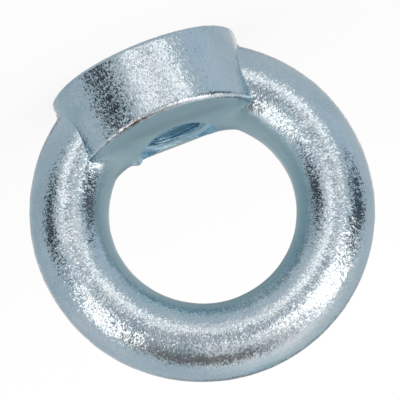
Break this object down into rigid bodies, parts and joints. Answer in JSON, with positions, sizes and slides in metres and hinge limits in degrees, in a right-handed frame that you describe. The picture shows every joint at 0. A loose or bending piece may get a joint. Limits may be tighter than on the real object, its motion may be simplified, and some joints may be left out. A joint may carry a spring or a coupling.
{
  "type": "lifting eye nut",
  "caption": "Drop-forged lifting eye nut: a round eye rises from a round threaded collar with a flat bearing face.",
  "frame": {"origin": "centre of the flat bearing face under the collar, on the thread's axis", "axes": "+Z along the thread from the bearing face towards the eye; the eye lies in the XZ plane, and +Y is the axis through the eye's opening"},
  "size_m": [0.054, 0.0304, 0.0518],
  "materials": {
    "zinc_plated_steel": "forged steel, blasted and then electro-plated with clear bluish zinc"
  },
  "bodies": {
    "root": {"eye_nut": "zinc_plated_steel"}
  },
  "joints": []
}
